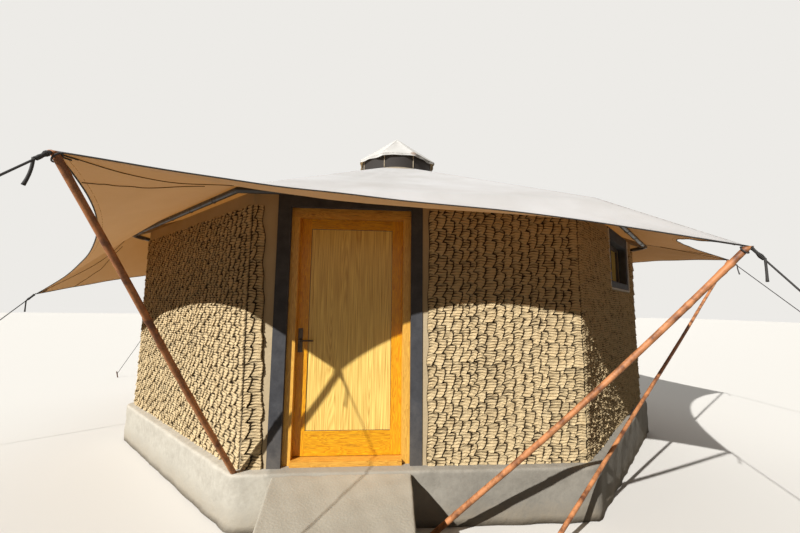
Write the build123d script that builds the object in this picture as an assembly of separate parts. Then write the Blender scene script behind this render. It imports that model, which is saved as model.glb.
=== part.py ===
"""Eight-sided mud-walled chalet with a canvas tent roof, door facing -Y, origin at the middle of
the plinth's bottom face, millimetres, +Z up."""
from build123d import *
from math import cos, sin, tan, radians
import os

# Plan and walls
SIDES = 8
WALL_APOTHEM = 3410          # centre to the outer face of a wall
WALL_T = 230                 # mud-brick wall
OVER_DOOR = 128              # wall over the door frame, up to the wall top
PLINTH_H = 420               # lowest ground to plinth top
PLINTH_LEDGE = 105           # plinth beyond the wall face
FLOOR_T = 40                 # cement floor on the plinth

# Door, from left to right as seen from outside
DOOR_X = -588                # middle of the door frame
FRAME_W = 1026                # outside of the frame
FRAME_H = 2112
FRAME_FACE = 66              # jamb width seen from the front
FRAME_SET = 39               # frame behind the wall face
HEAD_FACE = 81
STOP_W = 12                  # rebate lip that the leaf closes against
RECESS = 65                  # frame face to leaf face
LEAF_T = 40
DOOR_GAP = 5                 # running gap round the leaf
SILL_H = 40
SILL_PROUD = 35
STILE_W = 100
TOP_RAIL = 92
BOTTOM_RAIL = 197
PANEL_T = 18
PANEL_SET = 9                # panel behind the stile face
GROOVE_IN = 10               # how deep the panel sits in the stiles and rails
SURROUND_L = 108             # charcoal band left of the frame
SURROUND_R = 97
SURROUND_T = 8

# Door furniture
LOCK_Z = 983                 # lever above the plinth top
LOCK_IN = 38                 # lever axis to the leaf edge
PLATE_W = 38
PLATE_H = 200
PLATE_T = 6
SPINDLE_R = 5
SPINDLE_FIT = 0.5
NECK_R = 9
NECK_CLEAR = 3               # neck to lock plate
LEVER_R = 7.2
LEVER_L = 115
LEVER_OUT = 48               # leaf face to lever middle
STILE_BORE_R = 12
HINGE_R = 7
HINGE_H = 90
HINGE_PIN_R = 4
HINGE_PIN_FIT = 0.3
HINGE_AXIAL = 0.5
HINGE_PIN_SHORT = 5          # pin end below the upper knuckle's top
HINGE_LEAF_T = 2.5
HINGE_LEAF_W = 30
HINGE_ZS = (300, 1040, 1780)  # middles above the plinth top

# Step in front of the door
STEP_BACK_X = (-1147, -70)   # ends of its edge on the plinth
STEP_FRONT_X = (-1032, -133)
STEP_OUT = 930               # beyond the plinth face
STEP_DROP = 4                # plinth top to step top

# Windows: distance along the wall from its first corner
WINDOW_SIDES = ("right_front", "left_rear")
WIN_ALONG = 1400
WIN_W = 980
WIN_H = 505
WIN_OVER = 135               # wall over the window, up to the wall top
WIN_RECESS = 95
WIN_FRAME_FACE = 45
WIN_FRAME_T = 50
PANE_T = 6
PANE_FIT = 0.3
PANE_IN = 10                 # how deep the pane sits in its frame
WIN_BAND = 100               # charcoal band round the opening
WIN_BAND_LOW = 85

# Roof frame
HIP_PITCH = 23               # degrees, along a hip
RAFTER_W = 50
RAFTER_D = 54
RAIL_OUT = 196               # rail corner beyond wall corner, along the radius
RAIL_R = 25
STEEPEST_FLAP = 47           # degrees, steepest canvas that leaves the rail
CROWN_R = 640
CROWN_T = 45
CROWN_H = 70
SEAT = 0.3                   # resting gap

# Canvas
CANVAS_T = 10
# each corner's tip: reach beyond the wall corner, drop below the wall top
TIPS = ((1163, 580), (1180, 276), (1200, 340), (1200, 340),
        (1200, 340), (1200, 340), (1084, 863), (1385, 240))
# each side's hem: how far its middle lies inside the line of the tips, and above it
HEMS = ((443, 195), (400, 150), (400, 150), (400, 150),
        (400, 150), (400, 150), (331, 103), (440, 135))

# Vent on top
POST_R = 12
SCREEN_T = 5
CAP_R = 715
CAP_EAVE = 1605              # cap eave above the wall top
CAP_H = 545                  # cap eave to its apex
CAP_T = 12

# Poles, ropes and pegs
POLE_R = 20
THIN_POLE_R = 15.5
LEDGE_FOOT_OUT = 62          # foot beyond the wall corner, for poles that stand on the plinth
# feet on the ground: inward of the front right wall corner, and out from the plinth's front face
FRONT_POLE_FOOT = (1343, 89)
SIDE_POLE_FOOT = (665, 434)
ROPE_R = 5
# slope of each corner's guy rope, degrees below level
GUY_SLOPES = (55, 45, 50, 50, 50, 50, 48, 43)
# and how far it is pegged anticlockwise of the line from the middle through its tip, degrees
GUY_TURNS = (0, 0, 0, 0, 0, 0, 0, 20.7)
PEG_R = 11
PEG_H = 130
PEG_TIE = 78                 # rope above the ground at the peg
PEG_LEAN = 20                # degrees, away from the chalet
POLED_REAR_CORNERS = range(2, 6)

SIDE_NAMES = ("right_front", "right", "right_rear", "rear",
              "left_rear", "left", "left_front", "front")
HALF = 180 / SIDES
PITCH = radians(HIP_PITCH)
SIDE_SLOPE = tan(PITCH) / cos(radians(HALF))
WALL_R = WALL_APOTHEM / cos(radians(HALF))
WALL_IN = WALL_APOTHEM - WALL_T
RAIL_CORNER = WALL_R + RAIL_OUT
WALL_H = FRAME_H + OVER_DOOR
TOP = PLINTH_H + WALL_H
WIN_SILL = WALL_H - WIN_OVER - WIN_H
CUT = 1                      # how far a cutting solid runs past what it cuts
FACE_Y = -WALL_APOTHEM + FRAME_SET
LEAF_Y = FACE_Y + RECESS
FRAME_L = DOOR_X - FRAME_W / 2
FRAME_R = DOOR_X + FRAME_W / 2
LEAF_L = FRAME_L + FRAME_FACE - STOP_W + DOOR_GAP
LEAF_R = FRAME_R - FRAME_FACE + STOP_W - DOOR_GAP
LEAF_LOW = PLINTH_H + SILL_H + DOOR_GAP
LEAF_HIGH = PLINTH_H + FRAME_H - HEAD_FACE + STOP_W - DOOR_GAP
LEAF_FRONT = LEAF_Y + DOOR_GAP
LEAF_BACK = LEAF_FRONT + LEAF_T
JAMB_BACK = LEAF_BACK
HINGE_X = LEAF_R + DOOR_GAP / 2
HINGE_Y = JAMB_BACK + HINGE_R
LEVER_X = LEAF_L + LOCK_IN
LEVER_Z = PLINTH_H + LOCK_Z
CANVAS_TOP_R = (CROWN_R + SEAT) / cos(radians(HALF))
CAP_EAVE_Z = TOP + CAP_EAVE
CAP_TOP_Z = CAP_EAVE_Z + CAP_H


def corner_angle(corner):
    """Direction of a wall corner: 0 is the front right one, counted anticlockwise from above."""
    return -90 + HALF + corner * 360 / SIDES


def radial(corner, distance, z):
    angle = radians(corner_angle(corner))
    return Vector(distance * cos(angle), distance * sin(angle), z)


def side_frame(side):
    """Plane on the plinth top at a side's first outer corner: X along the wall, Y inwards, Z up."""
    first = radial(side, WALL_R, PLINTH_H)
    along = radial(side + 1, WALL_R, PLINTH_H) - first
    return Plane(origin=first, x_dir=along, z_dir=(0, 0, 1))


def side_length(apothem=WALL_APOTHEM):
    return 2 * apothem * tan(radians(HALF))


def block(x0, x1, y0, y1, z0, z1):
    return Pos((x0 + x1) / 2, (y0 + y1) / 2, (z0 + z1) / 2) * Box(x1 - x0, y1 - y0, z1 - z0)


def octagon(apothem, z, height):
    outline = Pos(0, 0, z) * RegularPolygon(apothem, SIDES, major_radius=False, rotation=HALF)
    return extrude(outline, height)


def rod(start, end, radius):
    """Round bar between two points."""
    axis = Vector(end) - Vector(start)
    return extrude(Plane(origin=start, z_dir=axis) * Circle(radius), axis.length)


# Plinth, floor and step

def make_plinth():
    return octagon(WALL_APOTHEM + PLINTH_LEDGE, 0, PLINTH_H)


def make_floor():
    room = octagon(WALL_IN, PLINTH_H, FLOOR_T)
    doorway = block(FRAME_L, FRAME_R, JAMB_BACK, -WALL_IN + CUT, PLINTH_H, PLINTH_H + FLOOR_T)
    return (room + doorway).clean()


def make_step():
    plinth_face = -WALL_APOTHEM - PLINTH_LEDGE
    front = plinth_face - STEP_OUT
    outline = Polyline((STEP_BACK_X[0], plinth_face), (STEP_BACK_X[1], plinth_face),
                       (STEP_FRONT_X[1], front), (STEP_FRONT_X[0], front), close=True)
    return extrude(make_face(outline), PLINTH_H - STEP_DROP)


# Walls

def wall_slab():
    """One side's wall in side_frame coordinates, mitred at both ends."""
    length = side_length()
    cut = WALL_T * tan(radians(HALF))
    outline = make_face(Polyline((0, 0), (length, 0), (length - cut, WALL_T), (cut, WALL_T), close=True))
    return extrude(outline, WALL_H)


def make_wall(side):
    wall = wall_slab()
    if SIDE_NAMES[side] in WINDOW_SIDES:
        wall -= block(WIN_ALONG, WIN_ALONG + WIN_W, -CUT, WALL_T + CUT, WIN_SILL, WIN_SILL + WIN_H)
    return side_frame(side) * wall


def make_front_walls():
    """The door wall in three slabs: left of the door, right of it, and over it."""
    wall = side_frame(SIDES - 1) * wall_slab()
    low, high, back = PLINTH_H - CUT, TOP + CUT, -WALL_IN + CUT
    rebate = block(FRAME_L - SURROUND_T, FRAME_R + SURROUND_T, -WALL_R, FACE_Y,
                   low, PLINTH_H + FRAME_H + SURROUND_T)
    left = wall - block(FRAME_L, WALL_R, -WALL_R, back, low, high) - rebate
    right = wall - block(-WALL_R, FRAME_R, -WALL_R, back, low, high) - rebate
    head = block(FRAME_L, FRAME_R, -WALL_APOTHEM, -WALL_IN, PLINTH_H + FRAME_H, TOP) - rebate
    return {"front_wall_left": left, "front_wall_right": right, "front_wall_head": head}


def make_door_surround():
    """Charcoal plaster band on the wall face that turns into the opening as far as the frame."""
    outer = block(FRAME_L - SURROUND_L, FRAME_R + SURROUND_R, -WALL_APOTHEM - SURROUND_T,
                  -WALL_APOTHEM, PLINTH_H, TOP)
    lining = block(FRAME_L - SURROUND_T, FRAME_R + SURROUND_T, -WALL_APOTHEM, FACE_Y,
                   PLINTH_H, PLINTH_H + FRAME_H + SURROUND_T)
    opening = block(FRAME_L, FRAME_R, -WALL_R, -WALL_IN, PLINTH_H - CUT, PLINTH_H + FRAME_H)
    return outer + lining - opening


# Windows, in side_frame coordinates

def window_surround():
    band = block(WIN_ALONG - WIN_BAND, WIN_ALONG + WIN_W + WIN_BAND, -SURROUND_T, 0,
                 WIN_SILL - WIN_BAND_LOW, WALL_H)
    return band - block(WIN_ALONG, WIN_ALONG + WIN_W, -SURROUND_T - CUT, CUT, WIN_SILL, WIN_SILL + WIN_H)


def window_frame():
    def inset(by, y0, y1):
        return block(WIN_ALONG + by, WIN_ALONG + WIN_W - by, y0, y1, WIN_SILL + by, WIN_SILL + WIN_H - by)
    back = WIN_RECESS + WIN_FRAME_T
    groove = (WIN_RECESS + (WIN_FRAME_T - PANE_T) / 2 - PANE_FIT,
              WIN_RECESS + (WIN_FRAME_T + PANE_T) / 2 + PANE_FIT)
    frame = inset(0, WIN_RECESS, back) - inset(WIN_FRAME_FACE, WIN_RECESS - CUT, back + CUT)
    return frame - inset(WIN_FRAME_FACE - PANE_IN, *groove)


def window_pane():
    edge = WIN_FRAME_FACE - PANE_IN + PANE_FIT
    front = WIN_RECESS + (WIN_FRAME_T - PANE_T) / 2
    return block(WIN_ALONG + edge, WIN_ALONG + WIN_W - edge, front, front + PANE_T,
                 WIN_SILL + edge, WIN_SILL + WIN_H - edge)


def on_window_sides(solid):
    return [side_frame(SIDE_NAMES.index(name)) * solid for name in WINDOW_SIDES]


# Door frame and leaf

def make_jambs():
    jambs = []
    for outer, inward in ((FRAME_L, 1), (FRAME_R, -1)):
        lip = outer + inward * FRAME_FACE
        seat = lip - inward * STOP_W
        low, high = PLINTH_H, PLINTH_H + FRAME_H - HEAD_FACE
        front = block(min(outer, lip), max(outer, lip), FACE_Y, LEAF_Y, low, high)
        back = block(min(outer, seat), max(outer, seat), LEAF_Y, JAMB_BACK, low, high + STOP_W)
        jambs.append(front + back)
    return jambs


def make_door_head():
    low, high = PLINTH_H + FRAME_H - HEAD_FACE, PLINTH_H + FRAME_H
    front = block(FRAME_L, FRAME_R, FACE_Y, LEAF_Y, low, high)
    return front + block(FRAME_L, FRAME_R, LEAF_Y, JAMB_BACK, low + STOP_W, high)


def make_threshold():
    left, right, high = FRAME_L + FRAME_FACE, FRAME_R - FRAME_FACE, PLINTH_H + SILL_H
    front = block(left, right, FACE_Y - SILL_PROUD, LEAF_Y, PLINTH_H, high)
    return front + block(left - STOP_W, right + STOP_W, LEAF_Y, JAMB_BACK, PLINTH_H, high)


def panel_block(grow):
    front = LEAF_FRONT + PANEL_SET
    return block(LEAF_L + STILE_W - GROOVE_IN - grow, LEAF_R - STILE_W + GROOVE_IN + grow,
                 front - grow, front + PANEL_T + grow,
                 LEAF_LOW + BOTTOM_RAIL - GROOVE_IN - grow, LEAF_HIGH - TOP_RAIL + GROOVE_IN + grow)


def make_stiles():
    groove = panel_block(SEAT)
    bore = rod((LEVER_X, LEAF_FRONT - CUT, LEVER_Z), (LEVER_X, LEAF_BACK + CUT, LEVER_Z), STILE_BORE_R)
    lock = block(LEAF_L, LEAF_L + STILE_W, LEAF_FRONT, LEAF_BACK, LEAF_LOW, LEAF_HIGH)
    hinge = block(LEAF_R - STILE_W, LEAF_R, LEAF_FRONT, LEAF_BACK, LEAF_LOW, LEAF_HIGH)
    return [lock - groove - bore, hinge - groove]


def make_rails():
    groove = panel_block(SEAT)
    left, right = LEAF_L + STILE_W, LEAF_R - STILE_W
    top = block(left, right, LEAF_FRONT, LEAF_BACK, LEAF_HIGH - TOP_RAIL, LEAF_HIGH)
    bottom = block(left, right, LEAF_FRONT, LEAF_BACK, LEAF_LOW, LEAF_LOW + BOTTOM_RAIL)
    return [top - groove, bottom - groove]


def make_lock_plates():
    plates = []
    for face, out in ((LEAF_FRONT, -1), (LEAF_BACK, 1)):
        outer = face + out * PLATE_T
        plate = block(LEVER_X - PLATE_W / 2, LEVER_X + PLATE_W / 2, min(face, outer), max(face, outer),
                      LEVER_Z - PLATE_H / 2, LEVER_Z + PLATE_H / 2)
        hole = rod((LEVER_X, face - PLATE_T * 2, LEVER_Z), (LEVER_X, face + PLATE_T * 2, LEVER_Z),
                   SPINDLE_R + SPINDLE_FIT)
        plates.append(plate - hole)
    return plates


def make_lever():
    """Spindle through the leaf with a lever on each end, both pointing to the hinges."""
    front, back = LEAF_FRONT - LEVER_OUT, LEAF_BACK + LEVER_OUT
    lever = rod((LEVER_X, front, LEVER_Z), (LEVER_X, back, LEVER_Z), SPINDLE_R)
    for y, out in ((front, 1), (back, -1)):
        lever += rod((LEVER_X, y - out * NECK_R, LEVER_Z),
                     (LEVER_X, y + out * (LEVER_OUT - PLATE_T - NECK_CLEAR), LEVER_Z), NECK_R)
        lever += rod((LEVER_X, y, LEVER_Z), (LEVER_X + LEVER_L, y, LEVER_Z), LEVER_R)
    return lever


def make_hinges():
    """Lift-off hinges: a pin and lower knuckle on the jamb, an upper knuckle on the leaf."""
    pins, knuckles = [], []
    for height in HINGE_ZS:
        z = PLINTH_H + height
        low, high = z - HINGE_H / 2, z + HINGE_H / 2
        axis = (HINGE_X, HINGE_Y)
        pin = rod((*axis, low), (*axis, z), HINGE_R)
        pin += rod((*axis, z), (*axis, high - HINGE_PIN_SHORT), HINGE_PIN_R)
        pin += block(HINGE_X, HINGE_X + HINGE_LEAF_W, JAMB_BACK, JAMB_BACK + HINGE_LEAF_T, low, z)
        knuckle = rod((*axis, z + HINGE_AXIAL), (*axis, high), HINGE_R)
        knuckle += block(HINGE_X - HINGE_LEAF_W, HINGE_X, LEAF_BACK, LEAF_BACK + HINGE_LEAF_T,
                         z + HINGE_AXIAL, high)
        knuckle -= rod((*axis, z), (*axis, high + CUT), HINGE_PIN_R + HINGE_PIN_FIT)
        pins.append(pin)
        knuckles.append(knuckle)
    return pins, knuckles


# Roof frame

def rafter_under(distance):
    """Height of a rafter's lower edge at a distance from the centre: it rests on the wall corner."""
    return TOP + SEAT + (WALL_R - distance) * tan(PITCH)


def rafter_top(distance):
    return rafter_under(distance) + RAFTER_D / cos(PITCH)


def hip_height(distance):
    """Underside of the canvas along a hip, just over the rafter's top edges."""
    return rafter_top(distance) + RAFTER_W / 2 * sin(radians(HALF)) * SIDE_SLOPE + SEAT


RAIL_Z = hip_height(RAIL_CORNER) - RAIL_R / cos(radians(STEEPEST_FLAP)) - SEAT
CROWN_Z = hip_height(CROWN_R) - CROWN_H / 2


def make_rafters():
    inner = CROWN_R + SEAT
    half = radians(HALF)
    outer = RAIL_CORNER - RAIL_R / cos(half) - RAFTER_W / 2 * tan(half) - SEAT
    profile = make_face(Polyline((inner, rafter_under(inner)), (outer, rafter_under(outer)),
                                 (outer, rafter_top(outer)), (inner, rafter_top(inner)), close=True))
    rafter = extrude(Plane.XZ * profile, RAFTER_W / 2, both=True)
    return [Rot(0, 0, corner_angle(corner)) * rafter for corner in range(SIDES)]


def make_rail():
    """Round steel tube in a closed eight-sided ring, mitred at the corners."""
    ring = None
    for corner in range(SIDES):
        start, end = radial(corner, RAIL_CORNER, RAIL_Z), radial(corner + 1, RAIL_CORNER, RAIL_Z)
        run = (end - start).normalized() * RAIL_R
        tube = rod(start - run, end + run, RAIL_R)
        low = RAIL_Z - 2 * RAIL_R
        wedge = make_face(Polyline((0, 0, low), radial(corner, 2 * RAIL_CORNER, low),
                                   radial(corner + 1, 2 * RAIL_CORNER, low), close=True))
        piece = tube & extrude(wedge, 4 * RAIL_R, dir=(0, 0, 1))
        ring = piece if ring is None else ring + piece
    return ring


def make_crown():
    z = CROWN_Z - CROWN_H / 2
    return Pos(0, 0, z) * extrude(Circle(CROWN_R) - Circle(CROWN_R - CROWN_T), CROWN_H)


# Canvas

def tip_point(corner):
    reach, drop = TIPS[corner % SIDES]
    return radial(corner, WALL_R + reach, TOP - drop)


def hem_middle(side):
    """Middle control point of a hem: a parabola between two tips."""
    inward, lift = HEMS[side]
    middle = (tip_point(side) + tip_point(side + 1)) / 2
    pull = Vector(-middle.X, -middle.Y, 0).normalized() * inward
    return middle + (pull + Vector(0, 0, lift)) * 2


def make_canvas(side):
    """One gore: the flat roof panel from crown to rail, and the flap from the rail to the hem."""
    up = Vector(0, 0, 1)
    top = [radial(c, CANVAS_TOP_R, hip_height(CANVAS_TOP_R)) for c in (side, side + 1)]
    eave = [radial(c, RAIL_CORNER, hip_height(RAIL_CORNER)) for c in (side, side + 1)]
    roof = make_face(Polyline(top[0], eave[0], eave[1], top[1], close=True))
    hem = Bezier(tip_point(side), hem_middle(side), tip_point(side + 1))
    flap = Face.make_surface_from_curves(Line(eave[0], eave[1]).edge(), hem.edge())
    panel = extrude(roof, CANVAS_T, dir=up)
    apron = extrude(flap, CANVAS_T, dir=up)
    return panel + apron


# Vent on the crown

CROWN_TOP = CROWN_Z + CROWN_H / 2
POST_AT = CROWN_R - CROWN_T / 2


def cap_under(distance):
    """Underside of the cap at a distance from the centre, along one of its eight edges."""
    return CAP_TOP_Z - distance * CAP_H / CAP_R - CAP_T


def make_posts():
    height = cap_under(POST_AT + 2 * POST_R) - SEAT - CROWN_TOP
    return [Pos(radial(corner, POST_AT, CROWN_TOP)) * extrude(Circle(POST_R), height)
            for corner in range(SIDES)]


def make_screen():
    inner = POST_AT + POST_R + SEAT
    outer = inner + SCREEN_T
    height = cap_under(outer / cos(radians(HALF))) - SEAT - CROWN_TOP
    return Pos(0, 0, CROWN_TOP) * extrude(Circle(outer) - Circle(inner), height)


def make_cap():
    """Eight-sided canvas cone, open below."""
    tip, low_tip = Vector(0, 0, CAP_TOP_Z), Vector(0, 0, CAP_TOP_Z - CAP_T)
    outer = [radial(c, CAP_R, CAP_EAVE_Z) for c in range(SIDES)]
    inner = [p - Vector(0, 0, CAP_T) for p in outer]
    faces = []
    for c in range(SIDES):
        n = (c + 1) % SIDES
        faces.append(make_face(Polyline(outer[c], outer[n], tip, close=True)).face())
        faces.append(make_face(Polyline(inner[n], inner[c], low_tip, close=True)).face())
        faces.append(make_face(Polyline(inner[c], inner[n], outer[n], outer[c], close=True)).face())
    return Solid(Shell(faces))


# Poles, ropes and pegs

def head_drop(corner, radius):
    """How far a pole's head stays below its tip: clear of a hem that falls away from the tip."""
    tip, fall = tip_point(corner), 0
    for side in (corner - 1, corner):
        run = hem_middle(side % SIDES) - tip
        fall = max(fall, -run.Z / (run.X ** 2 + run.Y ** 2) ** 0.5)
    return SEAT + radius * fall


def standing_pole(corner, over=0, grow=0):
    """Round pole from its foot on the ground or the plinth to a canvas tip, cut level at both ends."""
    foot, radius = POLES[corner]
    tip = tip_point(corner)
    axis = (tip - foot).normalized()
    pole = rod(foot - axis * 3 * radius, tip + axis * 3 * radius, radius + grow)
    reach = 2 * (TIPS[corner][0] + WALL_R)
    head = tip.Z + over if over else tip.Z - head_drop(corner, radius)
    return pole & block(-reach, reach, -reach, reach, foot.Z, head)


def ledge_foot(corner):
    return radial(corner, WALL_R + LEDGE_FOOT_OUT, PLINTH_H)


def ground_foot(inward, out):
    return Vector(side_length() / 2 - inward, -WALL_APOTHEM - PLINTH_LEDGE - out, 0)


# corner: foot and radius; the low tip at corner 6 is held by its rope alone
POLES = {0: (ground_foot(*FRONT_POLE_FOOT), POLE_R), 1: (ground_foot(*SIDE_POLE_FOOT), THIN_POLE_R),
         7: (ledge_foot(7), POLE_R)}
POLES.update({corner: (ledge_foot(corner), POLE_R) for corner in POLED_REAR_CORNERS})


def guy_way(corner):
    """Level direction from a tip to its peg."""
    angle = radians(corner_angle(corner) + GUY_TURNS[corner])
    return Vector(cos(angle), sin(angle), 0)


def guy_peg(corner):
    """Point on the peg where the rope is tied."""
    fall = tip_point(corner).Z - PEG_TIE
    run = fall / tan(radians(GUY_SLOPES[corner]))
    return tip_point(corner) + guy_way(corner) * run - Vector(0, 0, fall)


def make_rope(corner):
    """Straight taut rope from the canvas tip to its peg."""
    tip = tip_point(corner) + Vector(0, 0, CANVAS_T / 2)
    peg = guy_peg(corner)
    axis = (peg - tip).normalized()
    rope = rod(tip - axis * ROPE_R * 2, peg, ROPE_R)
    inside = Rot(0, 0, corner_angle(corner)) * block(
        0, WALL_R + TIPS[corner][0], -WALL_R, WALL_R, 0, CAP_TOP_Z)
    rope = rope - inside - make_peg(corner)
    if corner in POLES:
        rope -= standing_pole(corner, over=4 * ROPE_R, grow=SEAT)
    return rope


def make_peg(corner):
    lean = radians(PEG_LEAN)
    tie = guy_peg(corner)
    axis = guy_way(corner) * sin(lean) + Vector(0, 0, cos(lean))
    foot = tie - axis * (tie.Z / cos(lean))
    peg = rod(foot - axis * PEG_R, foot + axis * (PEG_H / cos(lean)), PEG_R)
    return peg - Pos(foot.X, foot.Y, -PEG_H) * Box(PEG_H * 2, PEG_H * 2, PEG_H * 2)


parts = {"plinth": make_plinth(), "floor_slab": make_floor(), "door_step": make_step()}
parts.update(make_front_walls())
for number, name in enumerate(SIDE_NAMES[:-1]):
    parts[name + "_wall"] = make_wall(number)
parts["door_surround"] = make_door_surround()
parts["window_surrounds"] = on_window_sides(window_surround())
parts["window_frames"] = on_window_sides(window_frame())
parts["window_panes"] = on_window_sides(window_pane())
parts["door_jambs"] = make_jambs()
parts["door_head"] = make_door_head()
parts["door_threshold"] = make_threshold()
parts["door_stiles"] = make_stiles()
parts["door_rails"] = make_rails()
parts["door_panel"] = panel_block(0)
parts["lock_plates"] = make_lock_plates()
parts["door_lever"] = make_lever()
parts["hinge_pins"], parts["hinge_knuckles"] = make_hinges()
parts["eave_rail"] = make_rail()
parts["hip_rafters"] = make_rafters()
parts["crown_ring"] = make_crown()
parts["vent_posts"] = make_posts()
parts["vent_screen"] = make_screen()
parts["vent_cap"] = make_cap()
for number, name in enumerate(SIDE_NAMES):
    parts["roof_canvas_" + name] = make_canvas(number)
parts["front_pole_left"] = standing_pole(7)
parts["front_pole_right"] = standing_pole(0)
parts["side_pole_right"] = standing_pole(1)
parts["rear_poles"] = [standing_pole(corner) for corner in POLED_REAR_CORNERS]
parts["guy_ropes"] = [make_rope(corner) for corner in range(SIDES)]
parts["ground_pegs"] = [make_peg(corner) for corner in range(SIDES)]

os.makedirs("parts", exist_ok=True)
for name, shape in parts.items():
    solids = shape if isinstance(shape, list) else [shape]
    export_step(Compound(children=[s for item in solids for s in item.solids()]), f"parts/{name}.step")
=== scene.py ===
"""Looks of an eight-sided mud-walled chalet under a canvas tent roof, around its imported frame.
Metres, +Z up, the ground is z = 0 and the door faces -Y."""
from math import cos, pi, radians, sin, tan

import bmesh
import bpy
import numpy as np
from mathutils import Matrix, Vector


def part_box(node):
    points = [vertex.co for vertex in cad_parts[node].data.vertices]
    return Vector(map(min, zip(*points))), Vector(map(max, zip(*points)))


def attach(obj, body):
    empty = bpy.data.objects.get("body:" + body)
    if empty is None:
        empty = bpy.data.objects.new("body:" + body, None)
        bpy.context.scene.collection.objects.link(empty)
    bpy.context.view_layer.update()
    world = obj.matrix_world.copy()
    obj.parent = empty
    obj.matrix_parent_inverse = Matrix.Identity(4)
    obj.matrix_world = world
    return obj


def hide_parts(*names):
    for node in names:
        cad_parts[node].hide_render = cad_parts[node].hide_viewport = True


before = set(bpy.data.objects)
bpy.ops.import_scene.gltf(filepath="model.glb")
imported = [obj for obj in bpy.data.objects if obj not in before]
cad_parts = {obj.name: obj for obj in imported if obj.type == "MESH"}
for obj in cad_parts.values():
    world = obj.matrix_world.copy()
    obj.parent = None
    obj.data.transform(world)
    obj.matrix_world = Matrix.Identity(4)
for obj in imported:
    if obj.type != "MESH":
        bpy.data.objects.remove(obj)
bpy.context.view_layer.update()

# Camera
# A wide lens at eye height in front of the door, turned a little up and to the right.
EYE = (-0.401, -6.482, 1.697)
YAW, PITCH, ROLL = radians(4.26), radians(6.28), radians(0.62)
forward = np.array([sin(YAW) * cos(PITCH), cos(YAW) * cos(PITCH), sin(PITCH)])
level = np.array([cos(YAW), -sin(YAW), 0])
rise = np.cross(level, forward)
across, upward = level * cos(ROLL) + rise * sin(ROLL), rise * cos(ROLL) - level * sin(ROLL)
camera = bpy.data.objects.new("camera", bpy.data.cameras.new("camera"))
camera.data.sensor_width, camera.data.lens = 36, 16.32
camera.data.clip_end = 200
camera.matrix_world = Matrix.Translation(EYE) @ Matrix((across, upward, -forward)).transposed().to_4x4()
bpy.context.scene.collection.objects.link(camera)
bpy.context.scene.camera = camera
bpy.context.scene.view_settings.view_transform = "Standard"


# Light and floor
# A key from the front left, as low as a morning sun, a broad soft lamp behind, an even pale surround
# and a pale floor that throws back only as much light as dry earth.
KEY_FROM = (-1.282, -1.41, 1.292)
KEY_STRENGTH, KEY_SPREAD = 5.6, radians(0.7)
BACK_FROM, BACK_STRENGTH, BACK_SPREAD = (0.25, 1.0, 0.75), 1.35, radians(70)
FILL = 0.085
BACKDROP, FLOOR, FLOOR_BOUNCE = "#EDEBE7", "#D9D5CD", "#453A2A"
FLOOR_HALF = 60


def linear(hex_colour):
    """The sRGB colour as linear RGBA."""
    c = np.array([int(hex_colour[i:i + 2], 16) / 255 for i in (1, 3, 5)])
    c = np.where(c <= 0.04045, c / 12.92, ((c + 0.055) / 1.055) ** 2.4)
    return (*c.tolist(), 1.0)


def plug(tree, node, inputs):
    """Links the inputs of a node that are given as sockets, and sets the others."""
    for socket, value in dict(inputs).items():
        if isinstance(value, bpy.types.NodeSocket):
            tree.links.new(value, node.inputs[socket])
        else:
            node.inputs[socket].default_value = value


def add(tree, kind, inputs=(), **settings):
    """Adds a shader node with its settings and inputs."""
    made = tree.nodes.new("ShaderNode" + kind)
    for key, value in settings.items():
        setattr(made, key, value)
    plug(tree, made, inputs)
    return made


def maths(tree, operation, *values):
    """A sum of numbers or sockets."""
    return add(tree, "Math", dict(enumerate(values)), operation=operation).outputs[0]


def mix(tree, share, first, second):
    """A blend of two colours, each a socket or an sRGB hex."""
    first, second = (linear(c) if isinstance(c, str) else c for c in (first, second))
    return add(tree, "Mix", {0: share, 6: first, 7: second}, data_type="RGBA").outputs[2]


for name, where, strength, spread in (("key", KEY_FROM, KEY_STRENGTH, KEY_SPREAD),
                                      ("back", BACK_FROM, BACK_STRENGTH, BACK_SPREAD)):
    lamp = bpy.data.objects.new(name, bpy.data.lights.new(name, "SUN"))
    lamp.data.energy, lamp.data.angle = strength, spread
    lamp.rotation_euler = Vector(where).to_track_quat("Z", "Y").to_euler()
    bpy.context.scene.collection.objects.link(lamp)

world = bpy.data.worlds.new("surround")
world.use_nodes = True
bpy.context.scene.world = world
sky = world.node_tree
sky.nodes.clear()


def seen_directly(tree):
    """1 where the camera, a reflection or a pane looks at a surface, and 0 for the light it throws,
    also for light that cloth scatters as it lets it through."""
    path = add(tree, "LightPath")
    clear = maths(tree, "SUBTRACT", path.outputs["Is Transmission Ray"], path.outputs["Is Diffuse Ray"])
    seen = maths(tree, "MAXIMUM", path.outputs["Is Camera Ray"], path.outputs["Is Glossy Ray"])
    return maths(tree, "MAXIMUM", seen, clear)


pale = add(sky, "Background", {"Color": linear(BACKDROP), "Strength": 1.0})
fill = add(sky, "Background", {"Color": (1, 1, 1, 1), "Strength": FILL})
both = add(sky, "MixShader", {0: seen_directly(sky), 1: fill.outputs[0], 2: pale.outputs[0]})
add(sky, "OutputWorld", {"Surface": both.outputs[0]})


def start_material(name):
    """A new material, its tree and its object coordinates."""
    made = bpy.data.materials.new(name)
    made.use_nodes = True
    return made, made.node_tree, add(made.node_tree, "TexCoord").outputs["Object"]


def wear(tree, colour, roughness, relief=None, others=()):
    """Gives a material's shader its colour, roughness and other inputs, and a bump as (height, metres)."""
    inputs = {"Base Color": colour, "Roughness": roughness, **dict(others)}
    if relief:
        inputs["Normal"] = add(tree, "Bump", {"Height": relief[0], "Distance": relief[1]}).outputs[0]
    shader = tree.nodes["Principled BSDF"]
    plug(tree, shader, inputs)
    return shader


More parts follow.
